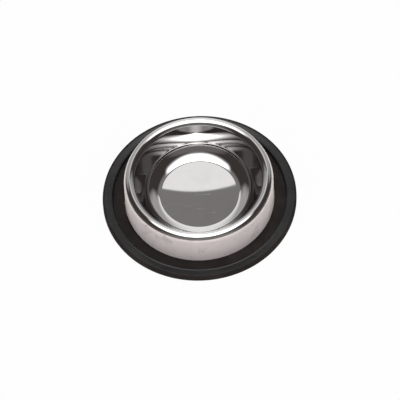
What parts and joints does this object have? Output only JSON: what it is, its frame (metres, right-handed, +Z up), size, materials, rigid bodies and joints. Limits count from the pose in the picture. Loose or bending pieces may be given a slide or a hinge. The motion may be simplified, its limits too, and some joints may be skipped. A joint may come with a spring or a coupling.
{
  "type": "no-tip pet bowl",
  "caption": "Small round no-tip pet bowl: a polished steel dish with a broad rolled rim on an upright satin steel skirt, gripped at the foot by a wide black rubber anti-skid ring.",
  "frame": {"origin": "on the table, on the bowl's axis", "axes": "+Z up along the bowl's axis; the bowl is round, so X and Y are free directions on the table"},
  "size_m": [0.15, 0.15, 0.0309],
  "materials": {
    "polished_steel": "mirror polished on the food side and the rolled rim",
    "satin_steel": "satin, with faint handling marks",
    "black_rubber": "semi-gloss moulded rubber"
  },
  "bodies": {
    "root": {"dish": "polished_steel", "skirt": "satin_steel", "rubber_ring": "black_rubber"}
  },
  "joints": []
}
